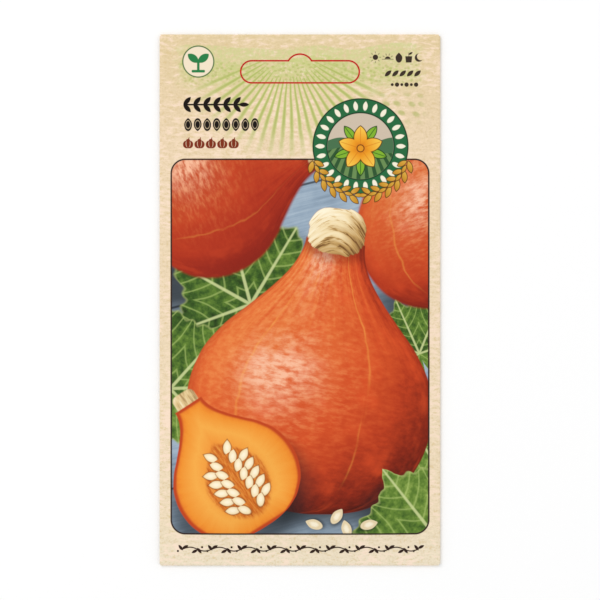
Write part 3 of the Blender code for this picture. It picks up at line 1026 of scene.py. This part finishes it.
# The picture: squashes and leaves on blue-grey boards, in a thin dark frame with round corners. It is printed
# in two stretches, since one material hasn't room for all of it, and what lies in one is left out of the
# other.
PICTURE_MIDDLE = (0.0, -13.26)
PICTURE_HALF = (36.7, 53.35)
PICTURE_CORNER = 4.0
FRAME_LINE = 0.45
FRAME_INK = (50, 35, 30)
SHADOW_INK = (24, 26, 28)
BOARDS_TURN = 14.0
BOARD_WIDTH = 25.0
BOARD_GAP = 0.30
GAP_INK = (52, 60, 68)
BOARD_SHADES = ((0.0, (74, 88, 102)), (0.3, (112, 130, 147)), (0.55, (146, 165, 183)),
                (0.8, (176, 192, 205)), (1.0, (206, 214, 220)))
CUT_PLACE = (-9.5, -51.0)
CUT_TURN = 33.0
CUT_SIZE = 41.0
CUT_MIDDLE = 0.36  # how far up the cut squash the middle of its seeds is
RIND = (190, 68, 28)
FLESH_SHADES = ((0.0, (226, 112, 32)), (0.2, (238, 146, 48)), (0.6, (243, 170, 72)), (1.0, (238, 150, 56)))
STRING_SHADES = ((0.2, (150, 66, 16)), (0.45, (206, 108, 34)), (0.7, (236, 158, 70)))
STUB_SHADES = ((0.2, (150, 112, 66)), (0.5, (222, 194, 140)), (0.8, (246, 230, 192)))
WET_SEED = ((0.0, (214, 176, 116)), (0.35, (243, 222, 178)), (1.0, (252, 240, 212)))
DRY_SEED = ((0.0, (196, 166, 120)), (0.25, (232, 214, 178)), (0.45, (226, 205, 164)), (0.8, (247, 236, 210)))
SEED_COLUMNS = ((0.137, 0.0, -28, 2), (0.068, 0.034, -56, 3))  # place across, start, lean, seeds each way
SPILLED_SEEDS = ((4, -50.5, 70), (10.5, -48.2, -35), (13.2, -51.8, 15), (19.6, -50.6, -75))


def draw_squash(x, y, turn, size, soft, redness):
    """Draws a squash into the picture, with its base at a spot, over what is there."""
    light_x, light_y, _ = Matrix.Rotation(math.radians(-turn), 3, "Z") @ LIGHT
    drawn.lay_group(
        squash,
        in_picture.at(x, y, turn, (size, size)),
        LightX=light_x,
        LightY=light_y,
        Redness=redness,
        Soft=soft / size,
    )


def draw_leaf(x, y, turn, size, soft, tone):
    """Draws a leaf into the picture, with its stalk's end at a spot, over what is there."""
    drawn.lay_group(leaf_picture, in_picture.at(x, y, turn, (size, size)), Tone=tone, Soft=soft / size)


def draw_shadow(x, y, turn, half_width, half_height, dark, blur=0.45):
    """Darkens the picture softly in an oval."""
    oval = in_picture.at(x, y, turn, (half_width, half_height)).reach()
    drawn.lay(oval.step(1.0 + blur, 1.0 - blur), SHADOW_INK, dark)


def draw_cut_squash():
    """Draws a squash cut in half lengthwise: rind, flesh that pales inwards, and seeds in their strings."""
    cut = in_picture.at(*CUT_PLACE, CUT_TURN, (CUT_SIZE, CUT_SIZE))
    half = cut.y.curve(*SQUASH_PROFILE) * SQUASH_HALF_WIDTH
    flesh_edge = ((abs(cut.x) - half) * 0.85).most(-cut.y).most(cut.y - 1.0)
    stub = cut.at(0.0, 1.02).box(0.085, 0.075, 0.04)
    stub_grain = Spot(cut.x * 40.0, cut.y * 8.0).noise(1.0, 2.0, 0.6)
    drawn.lay(stub.inside(0.006), (stub_grain + cut.x * -1.5).ramp(*STUB_SHADES))
    middle = cut.at(0, CUT_MIDDLE)
    fibre = Spot(middle.angle() * 7.0, middle.reach() * 3.0).noise(1.6, 3.0, 0.6)
    inward = flesh_edge / -0.26 + (fibre - 0.5) * 0.22
    drawn.lay(flesh_edge.inside(0.005), RIND)
    drawn.lay((flesh_edge + 0.022).inside(0.010), inward.ramp(*FLESH_SHADES))
    cavity = cut.at(0.0, 0.385).drop(0.285, 0.215, 0.62) + (fibre - 0.5) * 0.03
    strings = Spot(cut.x * 60.0, cut.y * 9.0).noise(1.0, 3.0, 0.7)
    drawn.lay(cavity.step(0.02, -0.015), strings.ramp(*STRING_SHADES))
    for across, start, lean, last in SEED_COLUMNS:
        column = Spot(cut.y - CUT_MIDDLE - start, abs(cut.x) - across)
        seed_spot, number = column.row(0.071, -last, last)
        mark = seed_spot.at(0, 0, lean).drop(0.050, 0.027, 0.5)
        drawn.lay((mark - 0.006).inside(0.006), (138, 70, 22), 0.8)
        drawn.lay(mark.inside(0.004), (mark / -0.027 + strings * 0.4).ramp(*WET_SEED))


for finish, upper in ((finishes[UPPER_PICTURE], True), (finishes[LOWER_PICTURE], False)):
    tree, place = start_print(finish)
    in_picture = place.at(*PICTURE_MIDDLE)
    boards = in_picture.at(0.0, 0.0, BOARDS_TURN)
    plank, number = boards.at(0, 7.0, 90).row(BOARD_WIDTH, -4, 4)
    shade = Spot(number * 3.7, 0.5).noise(1.0, 0.0)
    wood = Spot(plank.y * 0.05 + number * 5.0, plank.x * 1.1).noise(1.0, 4.0, 0.65)
    worn = in_picture.noise(0.09, 3.0, 0.6)
    tone = (wood - 0.5) * 0.55 + (shade - 0.5) * 0.35 + (worn - 0.5) * 0.55 + 0.56
    drawn = Print(tree, tone.ramp(*BOARD_SHADES))
    drawn.lay((BOARD_WIDTH / 2 - abs(plank.x) - BOARD_GAP).inside(0.25), GAP_INK, 0.9)
    if upper:
        draw_shadow(-24, 20, 10, 30, 9, 0.88, 0.45)
        draw_shadow(36, 12, 0, 16, 9, 0.80, 0.5)
        draw_leaf(-14, 12, 15, 27, 0.7, 0.36)
    draw_leaf(-37, -12, -42, 25, 0.5, 0.48)
    if upper:
        draw_leaf(34, -2, 24, 17, 0.5, 0.42)
        draw_squash(-46, 36, -68, 54, 0.55, 0.70)
        draw_squash(49, 13, 19, 58, 0.50, 0.30)
    else:
        draw_shadow(4, -40, 0, 36, 11, 0.85)
        draw_leaf(34, -26, -150, 20, 0.35, 0.58)
    draw_squash(-2, -47, -9, 78, 0.20, 0.0)

    # The cut squash lies in front, and beside it a leaf and a few dried seeds
    if not upper:
        draw_shadow(-17, -44, 30, 21, 16, 0.75, 0.25)
        draw_cut_squash()
        draw_shadow(28, -47, 35, 12, 9, 0.55, 0.35)
        draw_leaf(40, -56, 38, 27, 0.20, 0.56)
        for x, y, turn in SPILLED_SEEDS:
            seed_spot = in_picture.at(x, y, turn)
            drawn.lay(seed_spot.at(0.35, -0.35).drop(2.7, 1.55, 0.5).step(0.5, -0.5), SHADOW_INK, 0.6)
            mark = seed_spot.drop(2.5, 1.4, 0.5)
            drawn.lay(mark.inside(0.12), (mark * -0.6 + seed_spot.noise(0.8) * 0.4).ramp(*DRY_SEED))

    in_frame = in_picture.box(*PICTURE_HALF, PICTURE_CORNER)
    paper = paper_under(place)
    picture = drawn
    drawn = Print(tree, paper["Color"])
    drawn.lay(in_frame.inside(), picture.socket)
    drawn.lay((abs(in_frame) - FRAME_LINE / 2).inside(), FRAME_INK)
    if upper:
        drawn.lay_group(seal, place.at(*SEAL_PLACE))
    finish_print(finish, drawn.socket, paper["Height"])

# The footer: parchment with a vine in dark ink where a line of words would be
FOOTER_VINE = (0.15, -71.0)
VINE_HALF = 33.7
VINE_WAVE = 8.4
VINE_SWING = 0.55
VINE_INK = (48, 30, 22)
VINE_LEAVES = ((0.75, 0.62, -62, 1.0, 0.42), (-0.55, 0.42, 38, 1.0, 0.42))


def draw_vine(vine, ink, thickness, leaves):
    """Draws a waving stem along x, with leaves at its bends, and gives the spot from the nearest bend."""
    stem = abs(vine.y - (vine.x * (2 * math.pi / VINE_WAVE)).sine() * VINE_SWING) * 0.9 - thickness
    drawn.lay(stem.inside(FINE_EDGE) * (abs(vine.x) - VINE_HALF).inside(0.2), ink)
    bend, number = vine.row(VINE_WAVE / 2, -8, 8)
    flip = alternate(number)
    bend = Spot(bend.x * flip, bend.y * flip)
    for x, y, turn, half_length, half_width in leaves:
        drawn.lay(bend.at(x, y, turn).leaf(half_length, half_width).inside(FINE_EDGE), ink)
    return bend


tree, place = start_print(finishes[FOOTER_PRINT])
paper = paper_under(place)
drawn = Print(tree, paper["Color"])
bend = draw_vine(place.at(*FOOTER_VINE), VINE_INK, 0.16, VINE_LEAVES)
drawn.lay((bend.at(-1.35, -0.55).reach() - 0.31).inside(FINE_EDGE), VINE_INK)
finish_print(finishes[FOOTER_PRINT], drawn.socket, paper["Height"])

# The back, seen from behind: the red line round the slot again, a vine above and one below, and between them
# pictures of how the plant grows, a sowing calendar, and a planting plan
LINE_GREEN = (74, 118, 66)
BACK_SLOT_LINE = 0.17
VINE_LEVELS = (52.6, -52.6)
BACK_VINE_LEAVES = ((0.75, 0.62, -62, 0.85, 0.34),)
SOIL_SHADES = ((0.3, (92, 60, 38)), (0.5, (128, 88, 58)), (0.7, (164, 122, 84)))
SEED_CREAM = (240, 224, 184)
SQUASH_ORANGE = (228, 112, 48)

tree, place = start_print(finishes[BACK_PRINT], mirrored=True)
paper = paper_under(place)
drawn = Print(tree, paper["Color"])
drawn.lay((from_slot_edge(place) - BACK_SLOT_LINE).inside(FINE_EDGE), SLOT_RED)
for level in VINE_LEVELS:
    draw_vine(place.at(0.0, level), LINE_GREEN, 0.13, BACK_VINE_LEAVES)

# Four round pictures: a buried seed, a seedling, a running shoot with leaves, and a ripe squash
STAGES_Y = 37.5
STAGE_RADIUS = 7.3
STAGE_PITCH = 17.2
EARTH_LEVEL = -2.2
SKY_SHADES = ((0.0, (232, 236, 200)), (1.0, (196, 216, 222)))
SEEDLING_PARTS = ((-1.5, 1.4, 58, 2.0, 0.95), (1.5, 1.4, -58, 2.0, 0.95), (0.0, -0.9, 0, 1.6, 0.25))
SHOOT_LEAVES = ((-3.2, -0.3, 25, 4.0), (0.4, 1.0, -10, 4.4), (3.7, 1.2, -50, 3.6))


def stage_at(number):
    """The spot from the middle of one of the four pictures, from 0 at the left."""
    return place.at((number - 1.5) * STAGE_PITCH, STAGES_Y)


stage, number = stage_at(0).row(STAGE_PITCH, 0, 3)
round_edge = stage.reach() - STAGE_RADIUS
inside = (round_edge + 0.4).inside()
drawn.lay_rimmed(round_edge, 0.4, LINE_GREEN, ((stage.y + 7.0) / 14.0).ramp(*SKY_SHADES))
earth = stage.y - EARTH_LEVEL + (stage.x * 0.9 + number).sine() * 0.22
crumbs = place.noise(1.5, 2.0, 0.6)
drawn.lay(earth.inside() * inside, crumbs.ramp(*SOIL_SHADES))
drawn.lay_rimmed(stage_at(0).at(0.2, -4.0, 70).drop(1.6, 0.95), 0.16, (90, 60, 30), SEED_CREAM)
for x, y, turn, half_length, half_width in SEEDLING_PARTS:
    blade = stage_at(1).at(x, y, turn).leaf(half_length, half_width)
    drawn.lay_rimmed(blade, 0.18, (60, 96, 38), (128, 168, 70))
shoot = stage_at(2)
runner = abs(shoot.y - 0.4 - (shoot.x * 0.55).sine() * 1.5) - 0.22
drawn.lay(runner.inside() * (abs(shoot.x) - 5.6).inside(), (78, 118, 48))
for x, y, turn, size in SHOOT_LEAVES:
    drawn.lay_group(leaf_picture, shoot.at(x, y, turn, (size, size)), Tone=0.5, Soft=0.02)
ripe = stage_at(3).at(0.2, -4.3, -8, (8.6, 8.6))
drawn.lay_group(squash, ripe, inside, LightX=LIGHT.x, LightY=LIGHT.y, Redness=0.0, Soft=0.012)

# The calendar: twelve boxes with a disc for the season, sunny or frosty, and a bar each for sowing, planting
# out and picking
CALENDAR_Y = 18.0
MONTH_PITCH = 5.3
SEASON_SHADES = ((0.0, (163, 188, 205)), (0.45, (182, 200, 130)),
                 (0.8, (238, 196, 84)), (1.0, (232, 138, 60)))
TRACKS = (  # level, first month, last month, colour
    (12.4, 3.0, 4.6, (150, 178, 74)),
    (9.4, 4.4, 5.6, (66, 128, 66)),
    (6.4, 8.0, 10.0, SQUASH_ORANGE),
)
month, number = place.at(-5.5 * MONTH_PITCH, CALENDAR_Y).row(MONTH_PITCH, 0, 11)
drawn.lay_rimmed(month.box(2.45, 3.1, 0.5), 0.28, LINE_GREEN, (244, 232, 206), FINE_EDGE)
season = (number * (math.pi / 6) - 1.75).sine() * 0.5 + 0.5
drawn.lay((month.reach() - 1.55).inside(0.08), season.ramp(*SEASON_SHADES))
rays = month.ring(8, 2.02).box(0.09, 0.24)
drawn.lay(rays.inside(FINE_EDGE) * season.step(0.55, 0.62), (224, 128, 48))
flake = (abs(month.ring(6, 0.0).x) - 0.09).inside(0.06) * (month.reach() - 1.3).inside(0.06)
drawn.lay(flake * season.step(0.22, 0.16), (246, 246, 240))
for level, first, last, tint in TRACKS:
    drawn.lay(place.at(0.0, level).box(6 * MONTH_PITCH, 0.9, 0.5).inside(FINE_EDGE), (224, 204, 168))
    middle = ((first + last) / 2 - 6.0) * MONTH_PITCH
    bar = place.at(middle, level).box((last - first) / 2 * MONTH_PITCH, 0.9, 0.5)
    drawn.lay(bar.inside(FINE_EDGE), tint)

# The planting plan: a bed cut through, with two seedlings over their seeds and arrows for depth and distance,
# and a bed seen from above, with its squash plants in rows
PLAN_X = 19.0
PLAN_Y = -18.0
PLAN_HALF = (15.2, 13.5)
SPROUT = (98, 144, 58)
PLOT_SHADES = ((0.3, (116, 78, 50)), (0.5, (146, 106, 72)), (0.7, (178, 138, 100)))
FOLIAGE_SHADES = ((0.25, (58, 96, 38)), (0.55, (104, 146, 58)), (0.9, (156, 186, 90)))
HOLE_Y = -5.6
ARROWS = ((0.0, 7.6, 90, 7.0), (0.0, HOLE_Y, 0, 2.9))


def draw_plan(x, ground):
    """Draws a framed ground into the print, and gives the spot from its middle and the mask of its inside."""
    middle = place.at(x, PLAN_Y)
    line = middle.box(*PLAN_HALF, 1.5)
    drawn.lay_rimmed(line, 0.35, LINE_GREEN, ground)
    return middle, (line + 0.35).inside()


bed, inside = draw_plan(-PLAN_X, (221, 229, 212))
earth = bed.y + 2.0 + (bed.x * 0.7).sine() * 0.2
drawn.lay(earth.inside() * inside, crumbs.ramp(*SOIL_SHADES))
for x in (-8.0, 8.0):
    hole = bed.at(x, HOLE_Y)
    drawn.lay((hole.reach() - 2.6).step(1.2, -0.6), (84, 54, 34), 0.8)
    drawn.lay(hole.at(0, -0.2, 75).drop(1.6, 0.95).inside(), SEED_CREAM)
    for side in (-1, 1):
        drawn.lay(bed.at(x + side * 1.6, 2.0, side * -58).leaf(2.2, 0.95).inside(), SPROUT)
    drawn.lay(bed.at(x, -1.0).box(0.26, 2.6, 0.2).inside(), SPROUT)
for x, y, turn, length in ARROWS:
    arrow = bed.at(x, y, turn)
    head = (abs(arrow.x) + abs(arrow.y) - length).most(length - 1.1 - abs(arrow.y)) * 0.7
    drawn.lay(arrow.box(0.13, length - 0.6).least(head).inside(FINE_EDGE), INK)

plot, inside = draw_plan(PLAN_X, crumbs.ramp(*PLOT_SHADES))
furrow = (plot.x * 1.9 + place.noise(0.2) * 2.0).sine()
drawn.lay(furrow.step(0.2, 0.9) * inside, (98, 64, 42), 0.6)
plant, number = plot.at(-3.9, 0).row(7.8, -1, 2)
plant, number = Spot(plant.y, plant.x).row(8.2, -1, 1)
around = combine("ARCTAN2", plant.x, plant.y)
foliage = plant.reach() - 2.5 - (around * 7.0).sine() * 0.45
drawn.lay((foliage - 0.35).inside(0.5) * inside, (70, 46, 30), 0.6)
drawn.lay(foliage.inside() * inside, (crumbs * 0.7 + plant.reach() * 0.16).ramp(*FOLIAGE_SHADES))
drawn.lay((plant.at(0.9, -0.9).reach() - 0.85).inside() * inside, SQUASH_ORANGE)
drawn.lay((plant.at(0.7, -0.65).reach() - 0.28).step(0.2, -0.2) * inside, (250, 190, 130), 0.8)

# Under the plan: a full sun three times over, then three drops of water
NEEDS_Y = -42.0
NEED_PITCH = 8.4
need, number = place.at(-PLAN_X, NEEDS_Y).row(NEED_PITCH, -1, 1)
sun = (need.reach() - 1.5).least(need.ring(12, 2.35).box(0.12, 0.45, 0.1))
drawn.lay(sun.inside(0.08), (226, 148, 48))
need, number = place.at(PLAN_X, NEEDS_Y).row(NEED_PITCH, -1, 1)
drawn.lay(need.at(0.0, 0.2).drop(2.6, 1.75, 0.80).inside(0.08), (96, 142, 176))
drawn.lay(need.at(-0.6, -0.7, 20).leaf(0.8, 0.3).inside(0.12), (214, 230, 238), 0.8)
finish_print(finishes[BACK_PRINT], drawn.socket, paper["Height"])

# The unprinted side of the paper, inside the packet and at its cut edges
BARE_GROUND = (246, 242, 232)
BARE_GLOSS = 0.15
BARE_ROUGHNESS = 0.8
tree, place = start_print(finishes[BARE_PAPER])
bare = use_group(parchment, place, Ground=colour(*BARE_GROUND))
finish_print(finishes[BARE_PAPER], bare["Color"], bare["Height"], BARE_GLOSS, BARE_ROUGHNESS)

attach(envelope, "root")
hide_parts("envelope")

# The seeds: ripe squash seeds, flat and pointed at the end that held to the flesh, each with a raised margin
# round a gently domed face. One is modelled, and a copy lies in the packet at each solid seed's place.
SEED_LENGTH = 16.5 * MM
SEED_WIDTH = 9.5 * MM
SEED_TIP = 0.45
SEED_ROUND = 32
SEED_RINGS = (  # each ring's share of the outline, and how far it stands from the seed's middle plane
    (1.00, 0.30 * MM),
    (0.96, 0.56 * MM),
    (0.91, 0.62 * MM),
    (0.85, 0.54 * MM),
    (0.76, 0.70 * MM),
    (0.58, 1.02 * MM),
    (0.34, 1.24 * MM),
    (0.12, 1.30 * MM),
)

bpy.ops.object.select_all(action="DESELECT")
bpy.ops.mesh.primitive_circle_add(vertices=SEED_ROUND, radius=0.5, fill_type="NGON")
pattern_seed = bpy.context.object
for vertex in pattern_seed.data.vertices:
    tip = 2 * max(vertex.co.y, 0.0)  # 0 up to the middle, 1 at the pointed end
    vertex.co.x *= SEED_WIDTH * (1 - SEED_TIP * tip**2)
    vertex.co.y *= SEED_LENGTH
bpy.ops.object.mode_set(mode="EDIT")
bpy.ops.mesh.select_mode(type="FACE")
bpy.ops.mesh.select_all(action="SELECT")
share_before, level_before = 1.0, 0.0
for share, level in SEED_RINGS:
    bpy.ops.mesh.extrude_region_move(TRANSFORM_OT_translate={"value": (0, 0, level - level_before)})
    narrowed = share / share_before
    bpy.ops.transform.resize(value=(narrowed, narrowed, 1), center_override=(0, 0, 0))
    share_before, level_before = share, level
bpy.ops.mesh.select_all(action="DESELECT")
half_seed = bmesh.from_edit_mesh(pattern_seed.data)
for face in half_seed.faces:
    face.select_set(all(abs(corner.co.z) < TINY for corner in face.verts))
bmesh.update_edit_mesh(pattern_seed.data)
bpy.ops.mesh.delete(type="ONLY_FACE")
bpy.ops.object.mode_set(mode="OBJECT")
bpy.ops.object.modifier_add(type="MIRROR")
mirrored = pattern_seed.modifiers[-1]
mirrored.use_axis = (False, False, True)
mirrored.merge_threshold = TINY
bpy.ops.object.modifier_apply(modifier=mirrored.name)
bpy.ops.object.modifier_add(type="SUBSURF")
rounded = pattern_seed.modifiers[-1]
rounded.levels = 1
rounded.render_levels = 1
bpy.ops.object.modifier_apply(modifier=rounded.name)
bpy.ops.object.shade_smooth()


def lie_of(node):
    """Where a solid seed's middle is, and which way its pointed end lies."""
    corners = [vertex.co.copy() for vertex in bpy.data.objects[node].data.vertices]
    inside = sum(corners, Vector()) / len(corners)
    end = max(corners, key=lambda corner: (corner - inside).length)
    other_end = max(corners, key=lambda corner: (corner - end).length)
    middle = (end + other_end) / 2
    along = (end - middle).normalized()
    across = Vector((-along.y, along.x, 0))
    lean = sum((corner - middle).dot(along) * abs((corner - middle).dot(across)) for corner in corners)
    return middle, along if lean < 0 else -along


# The husk: cream in cloudy shades, with fine fibres and a dull sheen
HUSK_SHADES = ((0.25, (198, 172, 128)), (0.45, (229, 211, 172)),
               (0.65, (242, 230, 202)), (0.9, (250, 243, 224)))
HUSK_GLOSS = 0.35
HUSK_ROUGHNESS = 0.48
husk = bpy.data.materials.new("seed_husk")
husk.use_nodes = True
tree, place = start_print(husk)
fibre = Spot(place.x * 1.2 + place.y * 0.4, place.y * 1.2 - place.x * 0.4).noise(2.2, 4.0, 0.65)
clouds = place.noise(0.35, 2.0)
finish_print(husk, (fibre * 0.6 + clouds * 0.4).ramp(*HUSK_SHADES), fibre.socket, HUSK_GLOSS, HUSK_ROUGHNESS)
pattern_seed.data.materials.append(husk)

for name in SEEDS:
    middle, along = lie_of(name)
    seed = pattern_seed.copy()
    seed.data = pattern_seed.data.copy()
    seed.name = name.replace("seed", "squash_seed")
    bpy.context.collection.objects.link(seed)
    seed.location = middle
    seed.rotation_euler.z = math.atan2(-along.x, along.y)
    bpy.ops.object.select_all(action="DESELECT")
    seed.select_set(True)
    bpy.context.view_layer.objects.active = seed
    bpy.ops.object.transform_apply(location=True, rotation=True, scale=True)
    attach(seed, "root")
    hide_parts(name)
bpy.data.objects.remove(pattern_seed)
